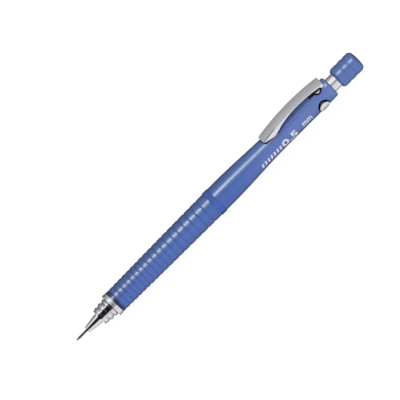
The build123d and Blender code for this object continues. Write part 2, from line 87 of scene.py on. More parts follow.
def mesh_from(name, points, faces):
    """A smooth-shaded mesh from points in metres."""
    mesh = bpy.data.meshes.new(name)
    mesh.from_pydata([tuple(p) for p in points], [], faces)
    mesh.validate()
    shell = bmesh.new()
    shell.from_mesh(mesh)
    bmesh.ops.recalc_face_normals(shell, faces=shell.faces)
    shell.to_mesh(mesh)
    shell.free()
    mesh.shade_smooth()
    return mesh


def loft(name, sections):
    """Joins equal closed sections, each a list of points, into one skin with closed ends."""
    count = len(sections[0])
    points = [p for section in sections for p in section]
    faces = []
    for i in range(len(sections) - 1):
        for j in range(count):
            k = (j + 1) % count
            faces.append((i * count + j, i * count + k, (i + 1) * count + k, (i + 1) * count + j))
    faces.append(tuple(range(count)))
    faces.append(tuple(range(len(points) - count, len(points))))
    return mesh_from(name, points, faces)


def mix(a, b, t):
    return a + (b - a) * t


# ---- clip ---------------------------------------------------------------------------------------
CLIP_LOW, CLIP_HIGH = (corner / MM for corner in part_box("clip"))
CLIP_HALF = CLIP_HIGH.y
CLIP_THICK = 0.45
CLIP_CROWN = 0.10  # how far the strip's face is domed across its width
CLIP_CROWN_SHAPE = 1.2  # how fast the dome falls towards the edges
CLIP_EDGE_R = 0.42  # rounding of the long edges
CLIP_EDGE_STEPS = 8
CLIP_FACE_STEPS = 5
CLIP_CORNER_R = 0.7  # rounding of the free end's corners, seen from above
CLIP_TIP_Z = 5.80
CLIP_MID = (114.2, 7.655)  # x and z of the arch's crown
CLIP_ROOT_Z = 6.35
CLIP_FOOT = (103.3, 3.86)  # x and z where the side walls come down on the barrel
CLIP_WALL = (CLIP_FOOT, (105.2, 4.36), (109.0, 5.78), (115.0, 6.78), (122.5, 6.5), (127.6, 5.5))
CLIP_EAR = (128.7, 4.3)  # x where the lower edge of the ears beside the root starts, and its z
CLIP_EAR_CORNER = 0.35
WALL_LEAST = 0.02  # how far a side wall reaches below the strip at least
WALL_BEVEL = 0.06  # along the walls' lower edge, outside
WALL_INNER_BEVEL = (0.04, 0.03)  # the same inside, across and up
WALL_ROOT_BEVEL = 0.12  # between the walls and the strip, inside
WALL_ROOT_RISE = 0.4  # height of that bevel over the wall's edge, where the wall is low
BARREL_CLEAR_R = 4.44
CLIP_STATIONS = 150
CLIP_BUNCHING = 0.55  # how much closer the stations stand near both ends
CLIP_END_GAP = 0.005
NECK_X = (124.6, 127.6)
NECK_HALF = 1.2
NECK_END_SHARE = 0.6  # width of the neck's ends between its cut corners
NECK_CORNER = 0.4
NECK_LEVELS = (4.87, 5.6, 6.3)  # from the boss under the clip up into the strip
SHARP_ANGLE = 40  # degrees


def arch_height(x):
    """Height of the clip's outer face at x, on the circle through its tip, crown and root."""
    (x1, z1), (x2, z2), (x3, z3) = (CLIP_LOW.x, CLIP_TIP_Z), CLIP_MID, (CLIP_HIGH.x, CLIP_ROOT_Z)
    d = 2 * (x1 * (z2 - z3) + x2 * (z3 - z1) + x3 * (z1 - z2))
    s1, s2, s3 = x1 * x1 + z1 * z1, x2 * x2 + z2 * z2, x3 * x3 + z3 * z3
    centre_x = (s1 * (z2 - z3) + s2 * (z3 - z1) + s3 * (z1 - z2)) / d
    centre_z = (s1 * (x3 - x2) + s2 * (x1 - x3) + s3 * (x2 - x1)) / d
    radius = sqrt((x1 - centre_x) ** 2 + (z1 - centre_z) ** 2)
    return centre_z + sqrt(radius * radius - (x - centre_x) ** 2)


def wall_slope(index):
    """Slope of the side walls' lower edge at one of its points, level at the foot."""
    if index == 0:
        return 0.0
    (xa, za), (xb, zb) = CLIP_WALL[index - 1], CLIP_WALL[min(index + 1, len(CLIP_WALL) - 1)]
    return (zb - za) / (xb - xa)


def wall_height(x):
    """Height of the side walls' lower edge at x: straight to the foot, a smooth curve, the ears."""
    if x <= CLIP_FOOT[0]:
        share = (x - CLIP_LOW.x) / (CLIP_FOOT[0] - CLIP_LOW.x)
        return mix(CLIP_TIP_Z - CLIP_THICK, CLIP_FOOT[1], share)
    end_x, end_z = CLIP_WALL[-1]
    if x >= end_x:
        share = min((x - end_x) / (CLIP_EAR[0] - end_x), 1.0)
        reach = max(x - CLIP_HIGH.x + CLIP_EAR_CORNER, 0.0)
        corner = CLIP_EAR_CORNER - sqrt(CLIP_EAR_CORNER**2 - reach**2)
        return mix(end_z, CLIP_EAR[1], sin(share * pi / 2)) + corner
    index = max(i for i in range(len(CLIP_WALL) - 1) if x >= CLIP_WALL[i][0])
    (xa, za), (xb, zb) = CLIP_WALL[index], CLIP_WALL[index + 1]
    span = xb - xa
    t = (x - xa) / span
    return (
        (2 * t**3 - 3 * t**2 + 1) * za
        + (t**3 - 2 * t**2 + t) * span * wall_slope(index)
        + (3 * t**2 - 2 * t**3) * zb
        + (t**3 - t**2) * span * wall_slope(index + 1)
    )


def clip_section(x):
    """The clip's closed channel section at x: domed face, rounded edges, two side walls."""
    reach = CLIP_CORNER_R - min(CLIP_CORNER_R, x - CLIP_LOW.x, (CLIP_HIGH.x - x) * 2)
    half = CLIP_HALF - (CLIP_CORNER_R - sqrt(CLIP_CORNER_R**2 - reach**2))
    top = arch_height(x)
    under = top - CLIP_THICK
    low = min(wall_height(x), under - CLIP_CROWN - WALL_LEAST)
    side = [(half - WALL_BEVEL, low), (half, low + WALL_BEVEL)]
    for step in range(CLIP_EDGE_STEPS + 1):
        turn = pi / 2 * step / CLIP_EDGE_STEPS
        y = half - CLIP_EDGE_R + CLIP_EDGE_R * cos(turn)
        side.append((y, top - CLIP_CROWN - CLIP_EDGE_R + CLIP_EDGE_R * sin(turn)))
    for step in range(1, CLIP_FACE_STEPS + 1):
        y = (half - CLIP_EDGE_R) * (1 - step / CLIP_FACE_STEPS)
        side.append((y, top - CLIP_CROWN * (y / half) ** 2 * CLIP_CROWN_SHAPE))
    wall = half - CLIP_THICK
    inner = [(y, under - CLIP_CROWN * (y / half) ** 2) for y in (0, wall * 0.5, wall - WALL_ROOT_BEVEL)]
    inner.append((wall, min(under - WALL_ROOT_BEVEL - CLIP_CROWN, low + WALL_ROOT_RISE)))
    inner.append((wall, low + WALL_INNER_BEVEL[1]))
    inner.append((wall + WALL_INNER_BEVEL[0], low))
    outer = side + [(-y, z) for y, z in side[-2::-1]]
    inside = [(-y, z) for y, z in inner[::-1]] + inner[1:]
    loop = []
    for y, z in outer + inside:
        clear = sqrt(BARREL_CLEAR_R**2 - y * y)
        loop.append(Vector((x, y, max(z, clear))) * MM)
    return loop


def neck_section(z):
    """The neck's level section: a rectangle with cut corners."""
    front, rear = NECK_X
    end = NECK_HALF * NECK_END_SHARE
    side = [(front, end), (front + NECK_CORNER, NECK_HALF), (rear - NECK_CORNER, NECK_HALF), (rear, end)]
    loop = [(x, -y) for x, y in side] + side[::-1]
    return [Vector((x, y, z)) * MM for x, y in loop]


def make_clip():
    """The pocket clip with the neck that fixes it to its band."""
    stations = []
    for step in range(CLIP_STATIONS + 1):
        share = step / CLIP_STATIONS
        eased = share - sin(2 * pi * share) / (2 * pi) * CLIP_BUNCHING
        stations.append(mix(CLIP_LOW.x + CLIP_END_GAP, CLIP_HIGH.x - CLIP_END_GAP, eased))
    mesh = loft("clip_strip", [clip_section(x) for x in stations])
    joined = bmesh.new()
    joined.from_mesh(mesh)
    joined.from_mesh(loft("clip_neck", [neck_section(z) for z in NECK_LEVELS]))
    joined.to_mesh(mesh)
    joined.free()
    mesh.shade_smooth()
    mesh.set_sharp_from_angle(angle=radians(SHARP_ANGLE))
    piece = new_object("clip_strip", mesh)
    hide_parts("clip")
    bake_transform(piece)
    return piece


# ---- return spring ------------------------------------------------------------------------------
SPRING_LOW, SPRING_HIGH = (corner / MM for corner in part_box("return_spring"))
WIRE_R = 0.18
WIRE_SIDES = 10
COIL_R = SPRING_HIGH.z - WIRE_R
COILS = 9
STEPS_PER_TURN = 40
CLOSED_TURNS = 1.2  # turns at each end that lie flat against their seat
CLOSED_PITCH = 2 * WIRE_R * 1.03


def make_spring():
    """Compression spring with closed ends."""
    turns = COILS + 2 * CLOSED_TURNS
    low, high = SPRING_LOW.x + WIRE_R, SPRING_HIGH.x - WIRE_R
    open_length = high - low - 2 * CLOSED_TURNS * CLOSED_PITCH
    along = Vector((1, 0, 0))
    sections = []
    for step in range(int(turns * STEPS_PER_TURN) + 1):
        turned = step / STEPS_PER_TURN
        first = min(turned, CLOSED_TURNS) * CLOSED_PITCH
        last = max(0.0, turned - (turns - CLOSED_TURNS)) * CLOSED_PITCH
        open_share = min(max(turned - CLOSED_TURNS, 0), COILS) / COILS
        out = Vector((0, cos(2 * pi * turned), sin(2 * pi * turned)))
        centre = along * (low + first + open_share * open_length + last) + out * COIL_R
        ring = []
        for side in range(WIRE_SIDES):
            a = 2 * pi * side / WIRE_SIDES
            ring.append((centre + (out * cos(a) + along * sin(a)) * WIRE_R) * MM)
        sections.append(ring)
    piece = new_object("spring_coil", loft("spring_coil", sections))
    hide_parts("return_spring")
    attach(piece, "barrel")
    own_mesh(piece)
    return piece


# ---- printed marks ------------------------------------------------------------------------------
PRINT_ANGLE = 92.0  # middle of the print in degrees, round from the clip towards -Y
PRINT_HEIGHT = 0.018
PRINT_STRIP = 0.15  # the marks are cut into strips this wide, so that they follow the barrel
WELD = 0.002
DASHES = {"start": 92.2, "pitch": 1.55, "count": 7, "length": 0.75, "height": 1.8, "slant": 0.35}
SIZE_MARK = {"words": "0.5", "x_span": (103.1, 110.5), "height": 3.1, "weight": 0.03}
UNIT_MARK = {"words": "mm", "x_span": (113.6, 118.2), "height": 2.0, "weight": 0.02}
TAPER = (76.0, 104.0)  # where the barrel narrows
BODY_R = 5.27
REAR_R = 4.41


def barrel_radius(x):
    """Radius of the barrel's taper and straight rear at x."""
    t = min(max((x - TAPER[0]) / (TAPER[1] - TAPER[0]), 0.0), 1.0)
    return mix(BODY_R, REAR_R, t * t * (3 - 2 * t))


def cut_in_strips(flat):
    """Cuts a flat bmesh across y into even strips."""
    heights = [v.co.y for v in flat.verts]
    line = min(heights) + PRINT_STRIP
    while line < max(heights):
        everything = flat.verts[:] + flat.edges[:] + flat.faces[:]
        bmesh.ops.bisect_plane(flat, geom=everything, plane_co=(0, line, 0), plane_no=(0, 1, 0))
        line += PRINT_STRIP


def wrap_on_barrel(flat, name):
    """Turns a flat bmesh (x along the pencil, y up the print) into a thin curved solid."""
    cut_in_strips(flat)
    bmesh.ops.remove_doubles(flat, verts=flat.verts, dist=WELD)
    raised = bmesh.ops.extrude_face_region(flat, geom=flat.faces[:])
    for item in raised["geom"]:
        if isinstance(item, bmesh.types.BMVert):
            item.co.z = PRINT_HEIGHT
    for vert in flat.verts:
        surface = barrel_radius(vert.co.x)
        radius = surface + vert.co.z
        angle = radians(PRINT_ANGLE) - vert.co.y / surface
        vert.co = Vector((vert.co.x, -radius * sin(angle), radius * cos(angle))) * MM
    bmesh.ops.recalc_face_normals(flat, faces=flat.faces)
    mesh = bpy.data.meshes.new(name)
    flat.to_mesh(mesh)
    flat.free()
    return new_object(name, mesh)


def make_lettering(name, words, x_span, height, weight):
    """Printed figures that fill x_span, height tall, with their strokes made heavier by weight."""
    curve = bpy.data.curves.new(name, "FONT")
    curve.body = words
    curve.size = 1.0
    curve.resolution_u = 6
    curve.offset = weight
    source = new_object(name + "_source", curve)
    bpy.context.view_layer.update()
    filled = source.evaluated_get(bpy.context.evaluated_depsgraph_get())
    flat = bmesh.new()
    flat.from_mesh(bpy.data.meshes.new_from_object(filled))
    bpy.data.objects.remove(source)
    xs = [v.co.x for v in flat.verts]
    ys = [v.co.y for v in flat.verts]
    for vert in flat.verts:
        along = (vert.co.x - min(xs)) / (max(xs) - min(xs))
        up = (vert.co.y - min(ys)) / (max(ys) - min(ys)) - 0.5
        vert.co = Vector((mix(x_span[0], x_span[1], along), up * height, 0))
    return wrap_on_barrel(flat, name)


def make_dashes(name, start, pitch, count, length, height, slant):
    """A row of slanted printed dashes."""
    flat = bmesh.new()
    outline = ((0, -0.5), (length, -0.5), (length + slant, 0.5), (slant, 0.5))
    for index in range(count):
        x = start + index * pitch
        flat.faces.new([flat.verts.new((x + cx, cy * height, 0)) for cx, cy in outline])
    return wrap_on_barrel(flat, name)


# ---- node graphs --------------------------------------------------------------------------------
class Graph:
    """A node tree with short calls for making and joining nodes."""

    def __init__(self, tree):
        self.tree = tree

    def node(self, kind, **settings):
        made = self.tree.nodes.new("ShaderNode" + kind)
        for key, value in settings.items():
            setattr(made, key, value)
        return made

    def feed(self, value, socket):
        """Joins a socket, or sets a plain value."""
        if isinstance(value, bpy.types.NodeSocket):
            self.tree.links.new(value, socket)
        else:
            socket.default_value = value

    def math(self, operation, a, b=0.0):
        made = self.node("Math", operation=operation)
        self.feed(a, made.inputs[0])
        self.feed(b, made.inputs[1])
        return made.outputs[0]

    def product(self, result, *factors):
        for factor in factors:
            result = self.math("MULTIPLY", result, factor)
        return result

    def axes(self, vector):
        """The vector's X, Y and Z sockets, by name."""
        made = self.node("SeparateXYZ")
        self.feed(vector, made.inputs[0])
        return made.outputs

    def vector(self, **parts):
        """A vector with the named parts, and zero along the other axes."""
        made = self.node("CombineXYZ")
        for axis, value in parts.items():
            self.feed(value, made.inputs[axis])
        return made.outputs[0]

    def unit(self, vector):
        made = self.node("VectorMath", operation="NORMALIZE")
        self.feed(vector, made.inputs[0])
        return made.outputs[0]

    def range(self, value, low, high, to_low=0.0, to_high=1.0):
        """Rescales a value, and holds it between to_low and to_high."""
        made = self.node("MapRange")
        names = ("Value", "From Min", "From Max", "To Min", "To Max")
        for name, setting in zip(names, (value, low, high, to_low, to_high)):
            self.feed(setting, made.inputs[name])
        return made.outputs[0]

    def blend(self, factor, a, b):
        """Mixes two colours."""
        made = self.node("Mix", data_type="RGBA")
        self.feed(factor, made.inputs["Factor"])
        self.feed(a, made.inputs[6])
        self.feed(b, made.inputs[7])
        return made.outputs[2]


class Shader(Graph):
    """A node material round one principled surface."""

    def __init__(self, name):
        self.material = bpy.data.materials.new(name)
        self.material.use_nodes = True
        super().__init__(self.material.node_tree)
        self.surface = self.tree.nodes["Principled BSDF"]
        self.output = self.tree.nodes["Material Output"]
        self.place = self.node("TexCoord").outputs["Object"]
        self.normal = self.node("NewGeometry").outputs["Normal"]

    def set(self, **inputs):
        """Feeds the principled surface: set(Roughness=0.3) or set(Base_Color=socket)."""
        for key, value in inputs.items():
            self.feed(value, self.surface.inputs[key.replace("_", " ")])

    def stretched(self, *scale):
        """The object's coordinates in millimetres, scaled along each axis."""
        made = self.node("Mapping")
        self.feed(self.place, made.inputs["Vector"])
        made.inputs["Scale"].default_value = [s / MM for s in scale]
        return made.outputs[0]

    def round_and_along(self, around, along):
        """Coordinates (angle round X, x) scaled for marks that run round a turned piece."""
        place = self.axes(self.place)
        angle = self.math("ARCTAN2", place["Y"], place["Z"])
        return self.vector(X=self.product(angle, around), Y=self.product(place["X"], along / MM))

    def noise(self, where, detail=3.0, rough=0.5):
        made = self.node("TexNoise")
        self.feed(where, made.inputs["Vector"])
        made.inputs["Scale"].default_value = 1.0
        made.inputs["Detail"].default_value = detail
        made.inputs["Roughness"].default_value = rough
        return made.outputs["Fac"]

    def contrast(self, noise, to_low=0.0, to_high=1.0):
        """Spreads a noise's middle values over the whole range."""
        return self.range(noise, 0.3, 0.7, to_low, to_high)

    def bump(self, height, distance, strength):
        made = self.node("Bump")
        made.inputs["Strength"].default_value = strength
        made.inputs["Distance"].default_value = distance * MM
        self.feed(height, made.inputs["Height"])
        return made.outputs[0]


# ---- metals -------------------------------------------------------------------------------------
PLATING = (0.88, 0.885, 0.91, 1)
# the plating's colour in painted shade
SHADED_PLATING = (0.085, 0.082, 0.10, 1)
FLANK_LEAN = (0.45, 0.8)  # lean along the axis at which painted shade on a flank starts and is full
# share of the plating's brightness that a flank keeps under its painted shade
FLANK_SHINE = 0.5
BAND_DARK_R = 4.8  # what lies deeper than this in a window is lost in shadow
BAND_DARK_EDGE = 0.05
UNDER_CLIP = (1.55, 1.85)  # y within which the band gets painted shade from the clip above it, and beyond which it is left bright
SIDE_Y = 3.6  # beyond this, to both sides, stand the side bosses
SIDE_GLEAM = (124.25, -1.5, 2.3)  # x, z and radius of the bright patch on a side boss; round it the boss gets painted shade
GLEAM_EDGE = 0.15
STEEL_DARK = (0.80, 0.80, 0.83, 1)
STEEL_PALE = (0.87, 0.87, 0.89, 1)
# painted sheen on the clip's turned-down sides
STEEL_SIDE_SHEEN = (0.93, 0.95, 1.0, 1)
# painted highlight on the sides by the foot
STEEL_FOOT_HIGHLIGHT = (1.0, 1.0, 1.0, 1)
# painted dark reflection along the fold over the foot
STEEL_FOLD_REFLECTION = (0.16, 0.12, 0.10, 1)
FOOT_HIGHLIGHT_X = (107.0, 105.0)  # the painted highlight on the foot fades in between these
FOOT_HIGHLIGHT_Z = (5.6, 4.9)
FOLD_FRONT_X = (99.4, 100.2)  # the painted dark reflection on the fold fades in between these
FOLD_REAR_X = (105.8, 104.5)
STEEL = (0.36, 0.36, 0.37, 1)
SMOKED_STEEL = (0.20, 0.175, 0.14, 1)
BRASS = (0.80, 0.60, 0.28, 1)
ALUMINIUM = (0.80, 0.81, 0.82, 1)


def plate(s, bright):
    """Plating with fine turning marks and soft smudges, painted darker as shade where bright is 0."""
    marks = s.noise(s.round_and_along(0.6, 26.0), 2.0)
    smudge = s.noise(s.stretched(0.35, 0.35, 0.35), 4.0, 0.6)
    s.set(Base_Color=s.blend(bright, SHADED_PLATING, PLATING), Metallic=1.0)
    s.set(Roughness=s.range(smudge, 0.35, 0.7, 0.045, 0.11))
    s.set(Normal=s.bump(marks, 0.002, 0.25))
    return s.material


def chrome():
    """Bright plating, with painted shade on flanks that face along the axis."""
    s = Shader("chrome")
    endwise = s.math("ABSOLUTE", s.axes(s.normal)["X"])
    return plate(s, s.range(endwise, *FLANK_LEAN, 1.0, FLANK_SHINE))


def band_chrome():
    """The band's plating: painted shade deep in the windows, under the clip and round a bright patch on
    each side boss.
    """
    s = Shader("chrome_band")
    place = s.axes(s.stretched(1, 1, 1))
    depth = s.node("VectorMath", operation="LENGTH")
    s.feed(s.vector(Y=place["Y"], Z=place["Z"]), depth.inputs[0])
    raised = s.range(depth.outputs["Value"], BAND_DARK_R - BAND_DARK_EDGE, BAND_DARK_R)
    aside = s.math("ABSOLUTE", place["Y"])
    on_top = s.product(s.range(aside, *UNDER_CLIP), s.math("LESS_THAN", aside, SIDE_Y))
    gleam_x, gleam_z, gleam_r = SIDE_GLEAM
    across = s.math("SUBTRACT", place["X"], gleam_x)
    up = s.math("SUBTRACT", place["Z"], gleam_z)
    away = s.math("SQRT", s.math("ADD", s.product(across, across), s.product(up, up)))
    on_side = s.range(away, gleam_r + GLEAM_EDGE, gleam_r - GLEAM_EDGE)
    on_side = s.product(on_side, s.math("GREATER_THAN", aside, SIDE_Y))
    # the plating stays bright only there; everywhere else it gets painted shade
    return plate(s, s.product(raised, s.math("ADD", on_top, on_side)))


def brushed_clip():
    """Steel brushed along its length, with painted sheen on its turned-down sides, a painted highlight
    on the foot's sides and a painted dark reflection along the fold over the foot."""
    s = Shader("clip_steel")
    grain = s.noise(s.stretched(0.12, 14.0, 14.0), 3.0, 0.6)
    broad = s.noise(s.stretched(0.05, 1.2, 1.2), 2.0)
    facing = s.axes(s.normal)
    place = s.axes(s.stretched(1, 1, 1))
    side = s.range(s.math("ABSOLUTE", facing["Y"]), 0.5, 0.95)
    # where the painted highlight lies, low on the sides by the foot
    foot = s.product(s.range(place["Z"], *FOOT_HIGHLIGHT_Z), s.range(place["X"], *FOOT_HIGHLIGHT_X))
    # where the painted dark reflection lies, on the fold's rounding
    fold = s.product(
        s.range(facing["Z"], 0.3, 0.5),
        s.range(facing["Z"], 0.97, 0.88),
        s.range(place["X"], *FOLD_REAR_X),
        s.range(place["X"], *FOLD_FRONT_X),
    )
    shade = s.blend(s.range(broad, 0.35, 0.65), STEEL_DARK, STEEL_PALE)
    # painted sheen on the sides, then the painted highlight and the painted dark reflection
    shade = s.blend(s.product(side, 0.8), shade, STEEL_SIDE_SHEEN)
    shade = s.blend(s.product(side, foot), shade, STEEL_FOOT_HIGHLIGHT)
    shade = s.blend(fold, shade, STEEL_FOLD_REFLECTION)
    s.set(Base_Color=shade, Metallic=1.0, Roughness=s.contrast(grain, 0.28, 0.38))
    s.set(Normal=s.bump(grain, 0.002, 0.15))
    return s.material


def turned_metal(name, shade, rough):
    """Drawn or turned bare metal."""
    s = Shader(name)
    marks = s.noise(s.round_and_along(0.8, 18.0))
    s.set(Base_Color=shade, Metallic=1.0, Roughness=s.contrast(marks, rough, rough + 0.12))
    s.set(Normal=s.bump(marks, 0.003, 0.4))
    return s.material


# ---- plastics, rubber and graphite --------------------------------------------------------------
def linear(r, g, b):
    """A shader colour from 0..255 screen values."""
    def channel(c):
        c = c / 255
        return c / 12.92 if c <= 0.04045 else ((c + 0.055) / 1.055) ** 2.4
    return (channel(r), channel(g), channel(b), 1.0)


# also the colour of the painted shade on top
BLUE_DEEP = linear(66, 90, 142)
BLUE_GRIP = linear(87, 122, 209)
BLUE_BODY = linear(78, 115, 202)
BLUE_REAR = linear(119, 143, 213)
BLUE_CAP = linear(106, 134, 208)
# painted shade at the edges, on the rear end faces and beside the clip
BLUE_IN_SHADE = linear(30, 39, 76)
# painted shade over the barrel's front
NAVY = linear(24, 30, 74)
GRIP_TO_BODY = (60.0, 76.0)  # x over which one blue turns into the next
BODY_TO_REAR = (78.0, 112.0)
CAP_FROM_X = 133.0  # between the barrel and the button
TOP_SHADE = (60.0, 130.0, 0.85, 0.25)  # x from and to, and how much painted shade darkens the top at each
# extra painted shade on the button's top
CAP_TOP_SHADE = 0.4
RIM = (0.40, 0.88)  # how far a face turns from the viewer as painted shade at the edge starts and is full
SPIGOT_SHADE = (20.6, 19.6)  # x over which painted shade darkens the barrel's front, by the nose's spigot
SHADED_ENDS_FROM_X = 129.0  # behind this the end faces get painted shade
CONTACT_REACH = 1.6  # how far from the clip its contact shade reaches
CONTACT_OPEN = (0.95, 0.70)  # openness to the room at which the shade starts and is full
CONTACT_FROM_X = (94.0, 96.0)
CONTACT_TO_X = 128.0
MATTE_RING = (69.55, 72.05)
RING_ROUGHER = 0.4
WORN_FROM_X = (100.0, 106.0)  # the skin of the rear is worn duller
WORN_TO_X = 128.8
DULL_COAT = 0.2
CLEARNESS = 0.12  # share of light that passes straight through the tinted wall
CLEAR_TINT = (0.22, 0.34, 0.85, 1)
MOULDED_WHITE = (0.62, 0.66, 0.74, 1)
TUBE_BLUE = (0.16, 0.22, 0.42, 1)
GRAPHITE = (0.035, 0.035, 0.04, 1)
RUBBER_BLACK = (0.02, 0.02, 0.02, 1)
ERASER_WHITE = (0.86, 0.86, 0.84, 1)
PRINT_WHITE = (0.84, 0.86, 0.90, 1)


def bar_normal(s, endwise):
    """The normal of a plain round bar, and the true normal where a face looks along the axis."""
    place = s.axes(s.place)
    turned = s.node("VectorTransform", vector_type="NORMAL", convert_from="OBJECT", convert_to="WORLD")
    s.feed(s.vector(Y=place["Y"], Z=place["Z"]), turned.inputs[0])
    spread = s.node("Mix", data_type="VECTOR")
    s.feed(s.range(endwise, 0.8, 0.95), spread.inputs[0])
    s.feed(turned.outputs[0], spread.inputs[4])
    s.feed(s.normal, spread.inputs[5])
    return s.unit(spread.outputs[1])


def contact_shade(s, along):
    """1 on the barrel where the clip stands close to it, for its painted contact shade."""
    close = s.node("AmbientOcclusion", samples=16)
    close.inputs["Distance"].default_value = CONTACT_REACH * MM
    return s.product(
        s.range(close.outputs["AO"], *CONTACT_OPEN),
        s.range(along, *CONTACT_FROM_X),
        s.math("LESS_THAN", along, CONTACT_TO_X),
    )


def blue_colour(s, along, normal, endwise):
    """The plastic's colour, paler to the rear, with painted shade on top, at its edges, over the nose's
    spigot, on the rear end faces and beside the clip."""
    on_cap = s.math("GREATER_THAN", along, CAP_FROM_X)
    base = s.blend(s.range(along, *GRIP_TO_BODY), BLUE_GRIP, BLUE_BODY)
    base = s.blend(s.range(along, *BODY_TO_REAR), base, BLUE_REAR)
    base = s.blend(on_cap, base, BLUE_CAP)
    # painted shade on top, stronger to the rear and on the button
    upward = s.range(s.axes(normal)["Z"], 0.55, 1.0)
    top_shade = s.math("ADD", s.range(along, *TOP_SHADE), s.product(on_cap, CAP_TOP_SHADE))
    base = s.blend(s.product(upward, top_shade), base, BLUE_DEEP)
    flow = s.noise(s.stretched(0.02, 0.5, 0.5), 3.0, 0.55)
    base = s.blend(s.range(flow, 0.35, 0.75, 0.0, 0.3), base, BLUE_DEEP)
    rim = s.node("LayerWeight")
    rim.inputs["Blend"].default_value = 0.5
    s.feed(normal, rim.inputs["Normal"])
    # painted shade at the edges
    base = s.blend(s.range(rim.outputs["Facing"], *RIM), base, BLUE_IN_SHADE)
    base = s.blend(contact_shade(s, along), base, BLUE_IN_SHADE)
    # painted shade on the rear end faces
    at_end = s.math("GREATER_THAN", along, SHADED_ENDS_FROM_X)
    base = s.blend(s.product(s.range(endwise, 0.6, 0.95, 0.0, 0.9), at_end), base, BLUE_IN_SHADE)
    # painted shade over the barrel's front
    return s.blend(s.product(s.range(along, *SPIGOT_SHADE), 0.9), base, NAVY)


def blue_plastic():
    """Tinted, slightly clear moulded plastic under a polished skin, matte on the raised ring. Light
    spreads inside the plastic, so its colour ignores the grooves that its skin shows."""
    s = Shader("blue_plastic")
    along = s.product(s.axes(s.place)["X"], 1 / MM)
    endwise = s.math("ABSOLUTE", s.axes(s.normal)["X"])
    normal = bar_normal(s, endwise)
    s.set(Base_Color=blue_colour(s, along, normal, endwise), Normal=normal)
    s.set(Roughness=0.6, Specular_IOR_Level=0.0)

    haze = s.noise(s.stretched(0.5, 0.5, 0.5), 3.0, 0.6)
    on_ring = s.product(
        s.math("GREATER_THAN", along, MATTE_RING[0]),
        s.math("LESS_THAN", along, MATTE_RING[1]),
    )
    worn = s.product(s.range(along, *WORN_FROM_X), s.math("LESS_THAN", along, WORN_TO_X))
    dull = s.math("MAXIMUM", worn, on_ring)
    rough = s.math("ADD", s.contrast(haze, 0.34, 0.38), s.product(on_ring, RING_ROUGHER))
    s.set(Coat_Weight=s.range(dull, 0.0, 1.0, 1.0, DULL_COAT), Coat_Roughness=rough, Coat_IOR=1.49)
    s.set(Coat_Normal=s.bump(haze, 0.002, 0.1))

    through = s.node("BsdfTransparent")
    through.inputs["Color"].default_value = CLEAR_TINT
    both = s.node("MixShader")
    both.inputs["Fac"].default_value = CLEARNESS
    s.feed(s.surface.outputs[0], both.inputs[1])
    s.feed(through.outputs[0], both.inputs[2])
    s.feed(both.outputs[0], s.output.inputs["Surface"])
    return s.material


def plain_plastic(name, shade, rough, speckle):
    """Moulded or extruded plastic, rubber or graphite, with fine speckle in colour and surface."""
    s = Shader(name)
    fine = s.noise(s.stretched(3.0, 3.0, 3.0), 4.0, 0.6)
    darker = tuple(c * (1 - speckle) for c in shade[:3]) + (1.0,)
    s.set(Base_Color=s.blend(s.contrast(fine), darker, shade))
    s.set(Roughness=s.contrast(fine, rough, rough + 0.15))
    s.set(Normal=s.bump(fine, 0.01, 0.4))
    return s.material


def paint_nodes(steel):
    """Gives every CAD node that stays in view its procedural material."""
    finishes = {
        chrome(): ("tip_cone", "knock_pipe"),
        band_chrome(): ("clip_band",),
        steel: ("cleaning_pin",),
        turned_metal("smoked_steel", SMOKED_STEEL, 0.45): ("lead_sleeve",),
        turned_metal("turned_brass", BRASS, 0.2): ("chuck", "clutch_ring"),
        turned_metal("satin_aluminium", ALUMINIUM, 0.3): ("eraser_cup",),
        plain_plastic("moulded_inner", MOULDED_WHITE, 0.35, 0.08): ("clutch_sleeve", "tube_coupler"),
        plain_plastic("extruded_tube", TUBE_BLUE, 0.3, 0.1): ("lead_tube",),
        plain_plastic("graphite", GRAPHITE, 0.35, 0.3): ("lead", "spare_leads"),
        plain_plastic("black_rubber", RUBBER_BLACK, 0.6, 0.2): ("lead_retainer",),
        plain_plastic("eraser_white", ERASER_WHITE, 0.75, 0.06): ("eraser",),
        blue_plastic(): ("barrel", "rear_bush", "push_cap"),
    }
    for finish, names in finishes.items():
        for name in names:
            NODES[name].material_slots[0].material = finish


# ---- camera and floor ---------------------------------------------------------------------------
VIEW_ELEVATION = 44.0  # degrees above the -Y side
VIEW_ROLL = 45.1
VIEW_WIDTH = 147.2  # width of the picture at the pencil
VIEW_DISTANCE = 1500.0
AIM_X = 67.5
AIM_UP = 4.315  # how far the picture's middle lies above the axis, towards the clip's side
SENSOR = 36.0
NEAREST, FARTHEST = 0.05, 20  # metres
FLOOR_HALF = 3.0  # metres
FLOOR_GLOW = 0.95
FLOOR_LIT = (0.07, 0.07, 0.07, 1)
PAPER = ((0.74, 0.74, 0.75, 1), (0.77, 0.77, 0.78, 1))


def outward(elevation):
    """The direction from the pencil at that many degrees above the -Y side."""
    return Vector((0, -cos(radians(elevation)), sin(radians(elevation))))


def view_above():
    """The upward direction square to the camera's line of sight and to the pencil."""
    return Vector((0, sin(radians(VIEW_ELEVATION)), cos(radians(VIEW_ELEVATION))))


def make_camera():
    """The camera, at its angle to the pencil and rolled about its line of sight."""
    roll = radians(VIEW_ROLL)
    along, above, back = Vector((1, 0, 0)), view_above(), outward(VIEW_ELEVATION)
    right = along * cos(roll) - above * sin(roll)
    up = along * sin(roll) + above * cos(roll)
    camera = new_object("camera", bpy.data.cameras.new("camera"))
    camera.data.sensor_width = SENSOR
    camera.data.lens = SENSOR * VIEW_DISTANCE / VIEW_WIDTH
    camera.data.clip_start = NEAREST
    camera.data.clip_end = FARTHEST
    place = (along * AIM_X + above * AIM_UP + back * VIEW_DISTANCE) * MM
    turned = Matrix((right, up, back)).transposed().to_4x4()
    camera.matrix_world = Matrix.Translation(place) @ turned
    bpy.context.scene.camera = camera


